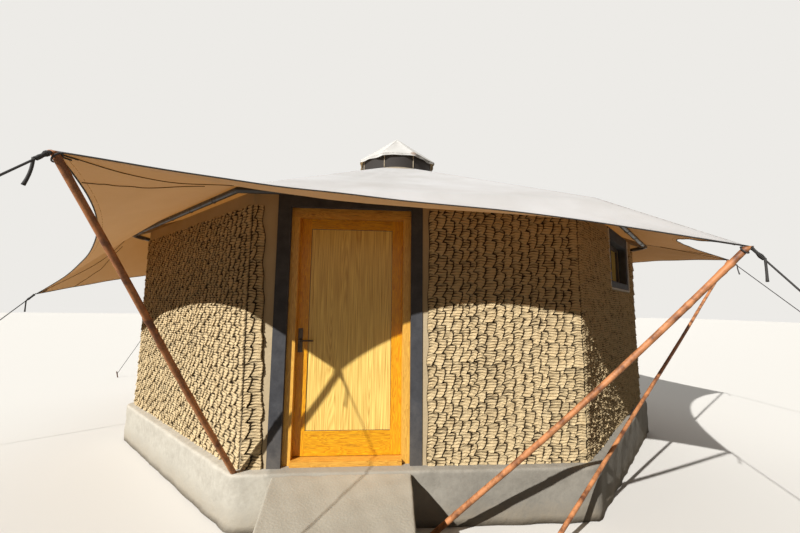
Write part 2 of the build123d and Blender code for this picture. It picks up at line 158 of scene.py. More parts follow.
def grid_faces(rows, columns, round_rows=False, round_columns=False):
    """Quads between the neighbours of a grid of points, closed round where asked."""
    r = np.arange(rows if round_rows else rows - 1)[:, None]
    c = np.arange(columns if round_columns else columns - 1)[None, :]
    r2, c2 = (r + 1) % rows, (c + 1) % columns
    quads = [r * columns + c, r * columns + c2, r2 * columns + c2, r2 * columns + c]
    return np.stack(quads, -1).reshape(-1, 4)


def joined(parts):
    """Several (points, faces) as one."""
    points, faces, count = [], [], 0
    for p, f in parts:
        points.append(p.reshape(-1, 3))
        faces += (np.asarray(f) + count).tolist()
        count += len(points[-1])
    return np.concatenate(points), faces


def make_piece(name, shape, finish, body="house", smooth=True, merge=0.0, outward=False):
    """An object at the origin from (points, faces), riding on a body. Merging joins doubled points,
    and outward turns a closed shape's faces out."""
    points, faces = shape
    mesh = bpy.data.meshes.new(name)
    mesh.from_pydata(points.reshape(-1, 3).tolist(), [], [list(f) for f in np.asarray(faces).tolist()])
    if merge or outward:
        b = bmesh.new()
        b.from_mesh(mesh)
        if merge:
            bmesh.ops.remove_doubles(b, verts=b.verts, dist=merge)
        if outward:
            bmesh.ops.recalc_face_normals(b, faces=b.faces)
        b.to_mesh(mesh)
        b.free()
    mesh.validate()
    mesh.polygons.foreach_set("use_smooth", np.full(len(mesh.polygons), smooth))
    mesh.materials.append(finish)
    made = bpy.data.objects.new(name, mesh)
    bpy.context.scene.collection.objects.link(made)
    if body:
        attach(made, body)
    return made


def dress(node, finish):
    """Gives a CAD node its finish."""
    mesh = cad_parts[node].data
    mesh.materials.clear()
    mesh.materials.append(finish)


floor_finish, tree, place = start_material("pale_studio_floor")
shade = mix(tree, seen_directly(tree), FLOOR_BOUNCE, FLOOR)
wear(tree, shade, 0.9)
corner = FLOOR_HALF * np.array([[[-1, -1, 0], [1, -1, 0]], [[-1, 1, 0], [1, 1, 0]]], float)
corner[..., 2] = -0.002
studio_floor = make_piece("studio_floor", (corner, grid_faces(2, 2)), floor_finish, body=None)


# Plinth
# Rubble and mortar with a hand-trowelled cement coat, whitewashed on the left and grey on the right.
# Its top is a ledge 105 mm wide round the walls.
def noise(tree, vector, scale, detail, roughness=0.5):
    """A noise texture from 0 to 1."""
    inputs = {"Vector": vector, "Scale": scale, "Detail": detail, "Roughness": roughness}
    return add(tree, "TexNoise", inputs).outputs["Fac"]


def ramp(tree, value, start, end, low=0.0, high=1.0, **settings):
    """A value carried over from one range to another, and kept within it."""
    return add(tree, "MapRange", {"Value": value, 1: start, 2: end, 3: low, 4: high}, **settings).outputs[0]


SIDES = 8
HALF = pi / SIDES
WALL_APOTHEM = -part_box("front_wall_head")[0].y
SIDE_LENGTH = 2 * WALL_APOTHEM * tan(HALF)
PLINTH_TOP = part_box("plinth")[1].z
PLINTH_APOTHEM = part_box("plinth")[1].y
PLINTH_CORNER_ROUND = 0.09
PLINTH_EDGE_ROUND = 0.022
PLINTH_UNEVEN = 0.007


def side_axes(side):
    """A side's first outer corner, its direction along the wall and its direction outwards, in plan."""
    turn = -pi / 2 - HALF + side * 2 * HALF + 2 * HALF
    first, second = (WALL_APOTHEM / cos(HALF) * np.array([cos(t), sin(t)]) for t in (turn, turn + 2 * HALF))
    along = (second - first) / np.linalg.norm(second - first)
    return first, along, np.array([along[1], -along[0]])


def on_side(side, a, out, z, round_by):
    """Points beside a wall: a metres along it and out metres proud of its face, with the corners of
    the face rounded to a radius. Near a corner the outward direction turns with the arc."""
    first, along, outward = side_axes(side)
    reach = round_by * tan(HALF)
    before, past = 1 - a / reach, 1 - (SIDE_LENGTH - a) / reach
    turn = HALF * np.where(a < reach, -before, np.where(a > SIDE_LENGTH - reach, past, 0))
    centre = np.clip(a, reach, SIDE_LENGTH - reach)
    x = centre + (round_by + out) * np.sin(turn)
    y = (round_by + out) * np.cos(turn) - round_by
    plan = first + x[..., None] * along + y[..., None] * outward
    return np.concatenate([plan, np.broadcast_to(z, x.shape)[..., None]], -1)


def ripple(x, y, size, seed, waves=7):
    """Smooth unevenness from -1 to 1: a sum of sine waves in drawn directions, about size metres long."""
    draw = np.random.default_rng(seed)
    turn = draw.uniform(0, 2 * pi, waves)
    length = draw.uniform(0.6, 1.6, waves) * size
    start = draw.uniform(0, 2 * pi, waves)
    total = sum(np.sin(2 * pi * (x * cos(t) + y * sin(t)) / l + s) for t, l, s in zip(turn, length, start))
    return total / waves ** 0.5 / 1.5


along_side = np.concatenate([np.linspace(0, 0.1, 5), np.linspace(0.16, SIDE_LENGTH - 0.16, 40),
                             np.linspace(SIDE_LENGTH - 0.1, SIDE_LENGTH, 5)[:-1]])
ledge = PLINTH_APOTHEM - WALL_APOTHEM
arc = np.linspace(0, pi / 2, 5)
profile_out = np.concatenate([np.full(7, ledge), ledge - PLINTH_EDGE_ROUND * (1 - np.cos(arc)),
                              [ledge * 0.6, ledge * 0.2, -0.05]])
profile_z = np.concatenate([np.linspace(0, PLINTH_TOP - PLINTH_EDGE_ROUND * 2, 7),
                            PLINTH_TOP - PLINTH_EDGE_ROUND * (1 - np.sin(arc)), np.full(3, PLINTH_TOP)])
rings = []
for side in range(SIDES):
    a = np.broadcast_to(along_side, (len(profile_out), len(along_side)))
    out, z = profile_out[:, None] + 0 * a, profile_z[:, None] + 0 * a
    swell = ripple(a + side * SIDE_LENGTH, z, 0.35, 1) + 0.6 * ripple(a + side * 3, z, 0.12, 2)
    worn = PLINTH_UNEVEN * (swell - 1.3)
    outside = np.clip(profile_out / ledge, 0, 1)[:, None]
    z = z + worn * 0.5 * outside * (z > 0.3)
    rings.append(on_side(side, a, out + worn * outside, z, PLINTH_CORNER_ROUND))
rings = np.concatenate(rings, 1)
middle = np.zeros((1, rings.shape[1], 3))
rings = np.concatenate([middle, rings, middle + [0, 0, PLINTH_TOP]])

cement_coat, tree, place = start_material("trowelled_cement_coat")
# Cement render and limewash: matt, blotchy, with trowel sweeps and splashes of soil near the ground.
split = add(tree, "SeparateXYZ", {0: place})
patch = noise(tree, place, 1.4, 5, 0.65)
edge = maths(tree, "MULTIPLY_ADD", split.outputs["X"], 0.9, patch)
whitewashed = ramp(tree, edge, -0.2, 0.75, 1.0, 0.0)
fine = noise(tree, place, 14, 8, 0.7)
grey = mix(tree, fine, "#746E63", "#A59E90")
white = mix(tree, fine, "#9C9383", "#D2CCBC")
coat = mix(tree, whitewashed, grey, white)
splash = maths(tree, "MULTIPLY_ADD", split.outputs["Z"], -2.6, fine)
# the ledge before the door is smeared with the step's grey concrete
beside = maths(tree, "ADD", split.outputs["X"], 0.622)
beside = maths(tree, "ABSOLUTE", beside)
beside = maths(tree, "MULTIPLY_ADD", fine, 0.12, beside)
smeared = ramp(tree, beside, 0.60, 0.64, 1.0, 0.0)
ahead = ramp(tree, split.outputs["Y"], -3.3, -3.25, 1.0, 0.0)
above = ramp(tree, split.outputs["Z"], 0.37, 0.40)
smeared = maths(tree, "MULTIPLY", smeared, ahead)
smeared = maths(tree, "MULTIPLY", smeared, above)
coat = mix(tree, smeared, coat, "#9C9587")
soiled = ramp(tree, splash, 0.0, 0.7, 0.0, 0.7)
coat = mix(tree, soiled, coat, "#8C7A5E")
wear(tree, coat, 0.92, (fine, 0.006))
plinth = make_piece("plinth_coat", (rings, grid_faces(*rings.shape[:2], round_columns=True)), cement_coat,
                    merge=1e-5, outward=True)
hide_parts("plinth")


# Door step
# A cast slab of grey concrete with worn, rounded edges, butted against the plinth.
STEP_LOW, STEP_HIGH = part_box("door_step")
STEP_ROUND = 0.02
STEP_TAPER = (0.115, 0.063)          # how far its left and right sides draw in at the front
STEP_GRID = 46

unit = np.linspace(-1, 1, STEP_GRID)
box_u, box_v = np.meshgrid(unit, unit)


def rounded_box(low, high, radius, uneven, seed, size=0.2):
    """Six grids over a box with rounded edges: each point is clipped to the box shrunk by the radius
    and pushed back out by it, then moved by a ripple."""
    low, high = np.array(low), np.array(high)
    middle, half = (low + high) / 2, (high - low) / 2
    parts = []
    # the grid is closer near the edges
    u, v = (np.sign(g) * (1 - (1 - np.abs(g)) ** 1.6) for g in (box_u, box_v))
    for axis in range(3):
        for sign in (-1, 1):
            raw = np.stack([u, v, np.full_like(u, 1.0)], -1)
            face = np.roll(raw, axis, -1)
            point = face * sign * half
            core = np.clip(point, -(half - radius), half - radius)
            out = point - core
            length = np.linalg.norm(out, axis=-1, keepdims=True)
            point = core + out / np.maximum(length, 1e-9) * np.minimum(radius, length)
            where = point + middle
            swell = ripple(where[..., 0] + where[..., 2], where[..., 1] - where[..., 2], size, seed)
            point = point + out / np.maximum(length, 1e-9) * (uneven * (swell - 0.9))[..., None]
            parts.append((point + middle, grid_faces(STEP_GRID, STEP_GRID)))
    return joined(parts)


concrete, tree, place = start_material("worn_cast_concrete")
# Grey concrete, matt, with sand showing where feet have worn it.
stain = noise(tree, place, 3.5, 6, 0.7)
sand = noise(tree, place, 60, 4)
base = mix(tree, stain, "#8C8678", "#C2BBAA")
base = mix(tree, sand, base, "#AFA897")
wear(tree, base, 0.88, (sand, 0.003))
step_points, step_faces = rounded_box(STEP_LOW, STEP_HIGH, STEP_ROUND, 0.004, 5)
across = (step_points[..., 0] - STEP_LOW.x) / (STEP_HIGH.x - STEP_LOW.x)
forward = (STEP_HIGH.y - step_points[..., 1]) / (STEP_HIGH.y - STEP_LOW.y)
step_points[..., 0] += forward * ((1 - across) * STEP_TAPER[0] - across * STEP_TAPER[1])
step = make_piece("door_step_slab", (step_points, step_faces), concrete, merge=1e-5, outward=True)
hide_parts("door_step")


# Floor
# A cement floor trowelled smooth, inside on the plinth.
def speckled(name, dark, light, scale, detail, roughness, relief=0.0, others=()):
    """A material that goes from one colour to another with one noise, which may also be its bump."""
    made, tree, place = start_material(name)
    spots = noise(tree, place, scale, detail)
    wear(tree, mix(tree, spots, dark, light), roughness, relief and (spots, relief), others)
    return made


smooth_cement = speckled("smooth_cement_floor", "#8B857A", "#A9A396", 2.2, 5, 0.6)
dress("floor_slab", smooth_cement)


# Walls
# Mud brick with a smooth coat of pale mud plaster, bare in a band under the roof and beside the openings.
SIDE_NAMES = ("right_front", "right", "right_rear", "rear", "left_rear", "left", "left_front", "front")
WALL_NODES = [name + "_wall" for name in SIDE_NAMES[:-1]]
WALL_NODES += ["front_wall_left", "front_wall_right", "front_wall_head"]
WALL_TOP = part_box("front_wall_head")[1].z

pale_plaster, tree, place = start_material("smoothed_mud_plaster")
# Fine clay and lime, matt, cloudy where it dried unevenly, with faint hand sweeps.
cloud = noise(tree, place, 2.5, 6, 0.6)
sweep = noise(tree, place, 18, 5, 0.6)
base = mix(tree, cloud, "#AE9874", "#C9B898")
wear(tree, base, 0.95, (sweep, 0.004), {"Specular IOR Level": 0.1})
for node in WALL_NODES:
    dress(node, pale_plaster)

# Hand-pressed mud
# A second coat of straw mud pressed on by hand in upright rows: each patch is a hand wide, its
# fingers leave level ridges, and its right and lower edges lap over the next with a groove that is darkened
# as painted shade.
RIDGE_H = 0.0235
PATCH_W = 0.074
PATCH_RIDGES = (4, 6)
PATCH_LIFT = 0.020
RIDGE_LIFT = 0.0030
COAT_BASE = 0.009
EDGE_SINK = -0.002
GROOVE_BEND = 0.62           # how far a patch's lower right corner is rounded, in patch widths
RIDGE_BOW = 0.006            # how far the ends of a ridge turn down
LUMP = 0.0020                # how far a point of the coat strays
EDGE_WAVE = 0.010            # and how far a free edge of it does
MUD_TOP = PLINTH_TOP + 2.12
MUD_CORNER_ROUND = 0.06
ACROSS = np.array([0, 0.13, 0.5, 0.87])          # places across a patch, in widths
ACROSS_LIFT = np.array([0, 0.34, 0.74, 1.0])     # and how high it stands there
ACROSS_LAP = np.array([0.2, 0.35, 0.8, 1.0])     # how much it thins there towards its top
LAP_DROP = 0.62
UP_RIDGE = np.array([0, 0.30, 0.72])             # places up a ridge: its groove, its brow and its back
RIDGE_FORM = np.array([-1.0, 1.0, 0.55])         # and how high it stands there


def pressed_mud(side, left, right, seed, free_ends=(False, False), hole=None):
    """The mud coat on one side between two edges, each given as its place along the wall at the
    bottom and at the top. Each finger ridge has three rows of points. Height is a patch's bulge, which
    grows to its right and lower edges, plus ridges, plus lumps, plus a slow unevenness."""
    draw = np.random.default_rng(seed)
    ridges = round((MUD_TOP - PLINTH_TOP) / RIDGE_H)
    rows = 3 * ridges + 1
    row = np.arange(rows)[:, None]
    share = (row // 3 + UP_RIDGE[row % 3]) / ridges
    start, end = (e[0] + (e[1] - e[0]) * share for e in (left, right))
    start = start + free_ends[0] * EDGE_WAVE * ripple(share * 2, share, 0.3, seed)
    end = end + free_ends[1] * EDGE_WAVE * ripple(share * 2, share, 0.3, seed)
    count = max(2, round((right[0] - left[0]) / PATCH_W))
    widths = draw.uniform(0.8, 1.2, count)
    bounds = np.concatenate([[0], np.cumsum(widths)]) / widths.sum()
    tall = draw.integers(*PATCH_RIDGES, count)
    phase = draw.integers(0, 20, count)
    q = ((row / 3 + phase) % tall) / tall
    patch = ((row / 3 + phase) // tall).astype(int)
    rank = np.arange(count)[None, :]
    swell = draw.uniform(0.62, 1.12, (count, patch.max() + 1))[rank, patch]
    shift = draw.uniform(-0.13, 0.13, (count, patch.max() + 1))[rank, patch]
    tilt = draw.uniform(-0.35, 0.12, (count, patch.max() + 1))[rank, patch]
    mean = (end - start) / count
    bound = start + bounds[None, :] * (end - start)
    bound[:, 1:-1] += (mean * (shift - GROOVE_BEND * (1 - q) ** 2.1 - 0.12 * q ** 3))[:, :-1]
    a = bound[:, :-1, None] + ACROSS * np.diff(bound, axis=1)[:, :, None]
    inner = np.sin(pi * ACROSS)
    hold = np.minimum(1, 3 * inner)
    height = PLINTH_TOP + share * (MUD_TOP - PLINTH_TOP)
    z = height[..., None] + (tilt * PATCH_W)[..., None] * np.sin(2 * pi * ACROSS) * -0.3
    stray = draw.uniform(-0.3, 0.3, (1, count, 1)) + draw.normal(0, 0.09, (rows, count, 4))
    z = z + RIDGE_H * inner * stray
    z = z - RIDGE_BOW * (1 - inner) * ((row > 2) & (row < rows - 4))[..., None]
    lap = 1 - LAP_DROP * (1 - (1 - q) ** 1.1)[..., None] * ACROSS_LAP
    crest = (RIDGE_FORM[row % 3] * RIDGE_LIFT)[..., None] * draw.uniform(0.2, 1.6, (rows, count, 4))
    lumps = draw.normal(0, LUMP, crest.shape)
    h = swell[..., None] * lap * ACROSS_LIFT * PATCH_LIFT + crest * hold + lumps * hold
    # depth is the coat's height as a share, raised on a ridge's brow and lowered in its groove; the material
    # turns it into painted shade in the grooves and painted light on the brows
    depth = np.minimum(1, h / (0.44 * PATCH_LIFT)) * (0.82 + 0.18 * RIDGE_FORM[row % 3][..., None] * hold)
    h, z, a, depth = (g.reshape(rows, -1) for g in (h, z, a, depth))
    a = a + draw.normal(0, LUMP, a.shape) * np.tile(hold, count)
    a, z = np.concatenate([a, end], 1), np.concatenate([z, height], 1)
    h, depth = np.concatenate([h, np.zeros((rows, 1))], 1), np.concatenate([depth, np.zeros((rows, 1))], 1)
    round_turn = 2 * pi * (a + side * SIDE_LENGTH) / (SIDES * SIDE_LENGTH)
    slow = 0.004 * np.sin(11 * round_turn + 2.1 * z) + 0.003 * np.sin(23 * round_turn - 3.7 * z)
    h = h + COAT_BASE + slow
    faces = grid_faces(*h.shape)
    if hole is not None:
        middle_a, middle_z = a.ravel()[faces].mean(1), z.ravel()[faces].mean(1)
        cut = (middle_a > hole[0]) & (middle_a < hole[1]) & (middle_z > hole[2])
        rim = np.zeros(h.size, bool)
        rim[np.intersect1d(faces[cut], faces[~cut])] = True
        h.ravel()[rim] = EDGE_SINK
        faces = faces[~cut]
    h[0] = h[-1] = EDGE_SINK
    z[0], z[1] = PLINTH_TOP, PLINTH_TOP + 0.001
    z[-1] += 0.012 * ripple(a[-1], z[-1], 0.3, seed + 40)
    for free, column in zip(free_ends, (0, -1)):
        if free:
            h[:, column] = EDGE_SINK
    return on_side(side, a, h, z, MUD_CORNER_ROUND), faces, depth


def give(made, name, values):
    """Puts one number a point on a piece, for its material."""
    values = np.asarray(values, np.float32).ravel()
    made.data.attributes.new(name, "FLOAT", "POINT").data.foreach_set("value", values)


straw_mud, tree, place = start_material("hand_pressed_straw_mud")
# Sun-dried earth with chopped straw: dead matt, sandy, with painted shade darkening the grooves and painted
# light making the ridges' brows paler.
earth = noise(tree, place, 7, 6, 0.65)
grit = noise(tree, place, 110, 6, 0.75)
base = mix(tree, earth, "#B89864", "#E8D4AC")
base = mix(tree, grit, base, "#DCC498")
height = add(tree, "Attribute", attribute_name="depth")
# painted shade: the lower the coat stands, the darker it is drawn
groove_shade = ramp(tree, height.outputs["Fac"], 0.05, 1.0, 1.0, 0.0, interpolation_type="SMOOTHSTEP")
base = mix(tree, groove_shade, base, "#2A1D0F")
wear(tree, base, 1.0, (grit, 0.007), {"Specular IOR Level": 0.06})

# openings in the coat, as places along the wall
BAND_LOW, BAND_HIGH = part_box("door_surround")
DOOR_STRIP_L = (0.026, 0.116)        # smooth strip left of the door's band, at the bottom and at the top
DOOR_STRIP_R = (0.037, 0.055)
WINDOW_SIDES = (0, 4)
HOLE = (1.268, 2.545, PLINTH_TOP + 1.485)    # the coat stops between these places, above this height
band_left, band_right = BAND_LOW.x + SIDE_LENGTH / 2, BAND_HIGH.x + SIDE_LENGTH / 2
coats = {name: ((0, 0), (SIDE_LENGTH,) * 2, (False, False)) for name in SIDE_NAMES[:-1]}
coats["front_left"] = ((0, 0), tuple(band_left - s for s in DOOR_STRIP_L), (False, True))
coats["front_right"] = (tuple(band_right + s for s in DOOR_STRIP_R), (SIDE_LENGTH,) * 2, (True, False))
for number, (name, (left, right, free)) in enumerate(coats.items()):
    side = min(number, SIDES - 1)
    hole = HOLE if side in WINDOW_SIDES else None
    points, faces, depth = pressed_mud(side, left, right, 100 + number, free, hole)
    mud = make_piece("pressed_mud_" + name, (points, faces), straw_mud, smooth=False)
    give(mud, "depth", depth)

# Charcoal bands
# Mud plaster painted charcoal in a flat band round the door and each window, thin and brushed on.
charcoal, tree, place = start_material("charcoal_painted_plaster")
# Matt dark paint on trowelled plaster, rubbed paler in patches, with dust on the lower part.
rubbed = noise(tree, place, 9, 7, 0.7)
base = mix(tree, rubbed, "#242427", "#5E5E60")
split = add(tree, "SeparateXYZ", {0: place})
dust = maths(tree, "MULTIPLY_ADD", split.outputs["Z"], -1.3, rubbed)
dusty = ramp(tree, dust, -0.6, 0.2, 0.0, 0.3)
base = mix(tree, dusty, base, "#8A7D69")
wear(tree, base, 0.8, (rubbed, 0.004), {"Specular IOR Level": 0.12})
dress("door_surround", charcoal)
dress("window_surrounds", charcoal)


# Windows
# Small fixed lights: dark painted timber frames set back in the opening, with one pane each.
def stretched(tree, vector, scale):
    """Coordinates multiplied along each axis."""
    return add(tree, "Mapping", {"Vector": vector, "Scale": scale}).outputs[0]


# Brown paint on planed wood, satin, with the grain just showing.
dark_timber = speckled("dark_painted_timber", "#241C18", "#4A3B30", 40, 4, 0.45)
dress("window_frames", dark_timber)
glass, tree, place = start_material("clear_window_glass")
# Float glass, glossy; its yellow colour, streaked upright, is a painted reflection.
painted_reflection = noise(tree, stretched(tree, place, (1, 1, 0.2)), 16, 3)
base = mix(tree, painted_reflection, "#E6CC60", "#FBEE9C")
wear(tree, base, 0.06, None, {"IOR": 1.52})
dress("window_panes", glass)

# Window linings
# The sides of each opening are trowelled and painted charcoal like the band round it.
WINDOW_ALONG, WINDOW_WIDE, WINDOW_HIGH, WINDOW_RECESS = 1.400, 0.980, 0.505, 0.094
WINDOW_OVER = 0.135                  # wall over the window, up to the wall top
WINDOW_SILL = WALL_TOP - WINDOW_OVER - WINDOW_HIGH
LINING_T, LINING_PROUD = 0.006, 0.009
SQUARENESS = 14                      # the power of the ellipse that a lining's outline is
ring_turn = np.linspace(0, 2 * pi, 97)[:-1]
depth = np.array([0.0, -0.004, -0.03, -0.06, -WINDOW_RECESS])
linings = []
for side in WINDOW_SIDES:
    first, along, outward = side_axes(side)
    # a rounded rectangle just inside the opening, as a power of the ellipse through its sides
    shape = np.abs(np.cos(ring_turn)) ** SQUARENESS + np.abs(np.sin(ring_turn)) ** SQUARENESS
    reach = shape ** (-1 / SQUARENESS)
    inset = np.array([0.0, *[LINING_T] * 4])[:, None]
    a = WINDOW_ALONG + WINDOW_WIDE / 2 + (WINDOW_WIDE / 2 - inset) * reach * np.cos(ring_turn)
    z = WINDOW_SILL + WINDOW_HIGH / 2 + (WINDOW_HIGH / 2 - inset) * reach * np.sin(ring_turn)
    plan = first + a[..., None] * along + (depth[:, None, None] + LINING_PROUD) * outward
    ring = np.concatenate([plan, z[..., None]], -1)
    linings.append((ring, grid_faces(*ring.shape[:2], round_columns=True)))
make_piece("window_linings", joined(linings), charcoal)


# Window edging
# A bead of white lime plaster that closes the gap between the charcoal band and the pressed mud.
BEAD_R, BEAD_OUT, BEAD_STRAY = 0.012, 0.006, 0.0022
BAND_SIDE, BAND_BELOW = 0.100, 0.085


def spun(turn, first, second):
    """The direction that is turned from the first towards the second."""
    return np.cos(turn) * first + np.sin(turn) * second


def capped(ring, points):
    """A run of rings with a point at each end, given once for every place round the ring."""
    ends = np.repeat(points[:, None], ring.shape[1], 1)
    return np.concatenate([ends[:1], ring, ends[1:]])


def tube(path, radius, around=10, close=False, reference=(0, 0, 1)):
    """Rings of points round a path. Each ring lies square to the path's direction there, turned from
    one fixed reference direction. Closed by a middle point at each end, or run round to its start."""
    path = np.asarray(path, float)
    if close:
        ahead = np.roll(path, -1, 0) - np.roll(path, 1, 0)
    else:
        ahead = np.gradient(path, axis=0)
    ahead = ahead / np.linalg.norm(ahead, axis=1, keepdims=True)
    side_way = np.cross(ahead, reference)
    side_way = side_way / np.linalg.norm(side_way, axis=1, keepdims=True)
    other = np.cross(ahead, side_way)
    turn = np.arange(around) * 2 * pi / around
    radius = np.broadcast_to(np.asarray(radius, float), (len(path),))[:, None, None]
    ring = path[:, None] + radius * spun(turn[:, None], side_way[:, None], other[:, None])
    if close:
        return ring, grid_faces(*ring.shape[:2], round_rows=True, round_columns=True)
    ring = capped(ring, path[[0, -1]])
    return ring, grid_faces(*ring.shape[:2], round_columns=True)


# Lime plaster, matt white, grey with dust in its pores.
lime_plaster = speckled("white_lime_plaster", "#D0CBC0", "#EAE7E0", 40, 5, 0.9, 0.003)
beads = []
for side in WINDOW_SIDES:
    first, along, outward = side_axes(side)
    low_a, high_a = WINDOW_ALONG - BAND_SIDE, WINDOW_ALONG + WINDOW_WIDE + BAND_SIDE
    low_z, high_z = WINDOW_SILL - BAND_BELOW, WALL_TOP - 0.02
    run = np.concatenate([[0], np.cumsum([high_z - low_z, high_a - low_a, high_z - low_z])])
    at = np.sort(np.concatenate([np.linspace(0, run[-1], 90), run[1:3] - 0.006, run[1:3] + 0.006]))
    a = np.interp(at, run, [low_a, low_a, high_a, high_a]) + BEAD_STRAY * ripple(at, 0 * at, 0.12, 6)
    z = np.interp(at, run, [high_z, low_z, low_z, high_z]) + BEAD_STRAY * ripple(at, 0 * at, 0.12, 7)
    plan = first + a[:, None] * along + BEAD_OUT * outward
    thick = BEAD_R * (1 + 0.12 * ripple(at, 0 * at, 0.07, 8))
    beads.append(tube(np.concatenate([plan, z[:, None]], 1), thick, 8, reference=(*outward, 0)))
make_piece("window_edging", joined(beads), lime_plaster)


# Door frame and leaf
# Orange-varnished pine: jambs, head and sill, and a leaf of stiles and rails round one veneered panel.
def pine(name, along, light, dark, knots, worn):
    """Varnished pine with its grain along an axis: growth rings as stretched noise bands, knots
    as small dark eyes that the bands bend round, and specks where the varnish is knocked off."""
    made, tree, place = start_material(name)
    stretch = [26.0, 26.0, 26.0]
    stretch[along] = 1.6
    lines = stretched(tree, place, stretch)
    eye_stretch = [3.4, 3.4, 3.4]
    eye_stretch[along] = 1.7
    eyes = add(tree, "TexVoronoi", {"Vector": stretched(tree, place, eye_stretch), "Scale": knots})
    from_eye = eyes.outputs["Distance"]
    eye = ramp(tree, from_eye, 0.03, 0.11, 1.0, 0.0)
    eye_bend = ramp(tree, from_eye, 0.0, 0.45, 2.6, 0.0)
    wave = noise(tree, lines, 1.0, 3)
    turned = maths(tree, "MULTIPLY_ADD", wave, 14.0, eye_bend)
    ring = maths(tree, "FRACT", turned)
    fine = noise(tree, lines, 9, 4)
    band = maths(tree, "MULTIPLY_ADD", ring, 0.62, fine)
    tone = ramp(tree, band, 0.3, 1.3)
    base = mix(tree, tone, light, dark)
    base = mix(tree, eye, base, "#5A2A0C")
    specks = noise(tree, lines, 2.6, 5, 0.75)
    knocked = ramp(tree, specks, 0.57, 0.66, 0.0, worn)
    base = mix(tree, knocked, base, "#7A4A1E")
    wear(tree, base, 0.38, (fine, 0.0015),
         {"Specular IOR Level": 0.3, "Coat Weight": 0.16, "Coat Roughness": 0.22})
    return made


# orange varnish on the leaf, the same one bleached on the frame round it
dress("door_stiles", pine("varnished_pine_upright", 2, "#F6B61E", "#BC6E08", 0.9, 0.25))
dress("door_rails", pine("varnished_pine_level", 0, "#F6BA1E", "#B46A08", 2.4, 0.6))
dress("door_jambs", pine("faded_pine_upright", 2, "#F6C258", "#C48530", 0.9, 0.3))
faded_level = pine("faded_pine_level", 0, "#F0BA52", "#B8782A", 2.4, 0.7)
dress("door_head", faded_level)
dress("door_threshold", faded_level)

veneer, tree, place = start_material("straight_grained_veneer")
# Sliced veneer under clear varnish: upright lines of straw and brown that bow into long arches, and
# finer ones between them, drawn about twice as coarse as they are, satin.
field = noise(tree, stretched(tree, place, (7, 7, 0.24)), 1.0, 1, 0.4)
arches = maths(tree, "MULTIPLY", field, 44.0)
arches = maths(tree, "PINGPONG", arches, 0.5)
stripes = noise(tree, stretched(tree, place, (120, 120, 1.9)), 1.0, 4, 0.6)
mixed = maths(tree, "MULTIPLY_ADD", arches, 0.30, stripes)
tone = ramp(tree, mixed, 0.43, 0.86)
base = mix(tree, tone, "#FFDC7C", "#AE7424")
wear(tree, base, 0.36, None, {"Specular IOR Level": 0.25, "Coat Weight": 0.14, "Coat Roughness": 0.2})
dress("door_panel", veneer)

# Panel shade line
# A dark cord round the panel where it enters the frame, on both faces, standing in for the shade in the gap
# there as a painted shadow.
SHADE_LINE_R = 0.0032
TOP_RAIL, BOTTOM_RAIL = 0.092, 0.197
rails_low, rails_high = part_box("door_rails")
left, right, low, high = rails_low.x, rails_high.x, rails_low.z + BOTTOM_RAIL, rails_high.z - TOP_RAIL
run = np.cumsum([0, high - low, right - left, high - low, right - left])
turns = (run[1:4, None] + [-0.004, 0.004]).ravel()
at = np.sort(np.concatenate([np.linspace(0, run[-1], 61)[:-1], turns, [0.004, run[-1] - 0.004]]))
shade_lines = []
for face_y in (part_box("door_panel")[0].y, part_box("door_panel")[1].y):
    path = np.stack([np.interp(at, run, [left, left, right, right, left]), np.full(len(at), face_y),
                     np.interp(at, run, [low, high, high, low, low])], -1)
    shade_lines.append(tube(path, SHADE_LINE_R, 8, close=True, reference=(0, 1, 0)))
make_piece("panel_shade_line", joined(shade_lines), dark_timber, body="door")


# Door furniture
# A long plate and lever of bronzed steel on each face, and three knuckle hinges.
# Plated steel, dark brown, rubbed brighter where it is handled.
bronzed = speckled("bronzed_steel", "#1C1612", "#4E4032", 45, 5, 0.38, others={"Metallic": 0.85})
for node in ("lock_plates", "door_lever", "hinge_pins", "hinge_knuckles"):
    dress(node, bronzed)

# Lock trim
# A rolled ring round each lever's neck, a key escutcheon below it and two screws in each plate.
PLATE_LOW, PLATE_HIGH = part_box("lock_plates")
SPINDLE_X, SPINDLE_Z = (PLATE_LOW.x + PLATE_HIGH.x) / 2, (PLATE_LOW.z + PLATE_HIGH.z) / 2
RING_R, RING_T = 0.0142, 0.0028
KEY_BELOW, KEY_R = 0.058, 0.0075
SCREW_FROM_END, SCREW_R = 0.013, 0.0042


def button(x, y, z, out, radius, height):
    """A round head that stands out from a face: half an ellipse turned about its axis."""
    lift = np.linspace(0, pi / 2, 7)[:, None]
    turn = np.arange(16)[None] * pi / 8
    reach = radius * np.cos(lift) * np.ones_like(turn)
    proud = y + out * height * np.sin(lift) + 0 * turn
    ring = np.stack([x + reach * np.cos(turn), proud, z + reach * np.sin(turn)], -1)
    return ring, grid_faces(*ring.shape[:2], round_columns=True)


trim = []
ring_way = np.arange(28) * 2 * pi / 28
ring_x, ring_z = SPINDLE_X + RING_R * np.cos(ring_way), SPINDLE_Z + RING_R * np.sin(ring_way)
for face_y, out in ((PLATE_LOW.y, -1), (PLATE_HIGH.y, 1)):
    circle = np.stack([ring_x, np.full(28, face_y), ring_z], -1)
    trim.append(tube(circle, RING_T, 8, close=True, reference=(0, 1, 0)))
    trim.append(button(SPINDLE_X, face_y, SPINDLE_Z - KEY_BELOW, out, KEY_R, 0.0022))
    for z in (PLATE_LOW.z + SCREW_FROM_END, PLATE_HIGH.z - SCREW_FROM_END):
        trim.append(button(SPINDLE_X, face_y, z, out, SCREW_R, 0.0018))
make_piece("lock_trim", joined(trim), bronzed, body="door", outward=True, merge=1e-6)


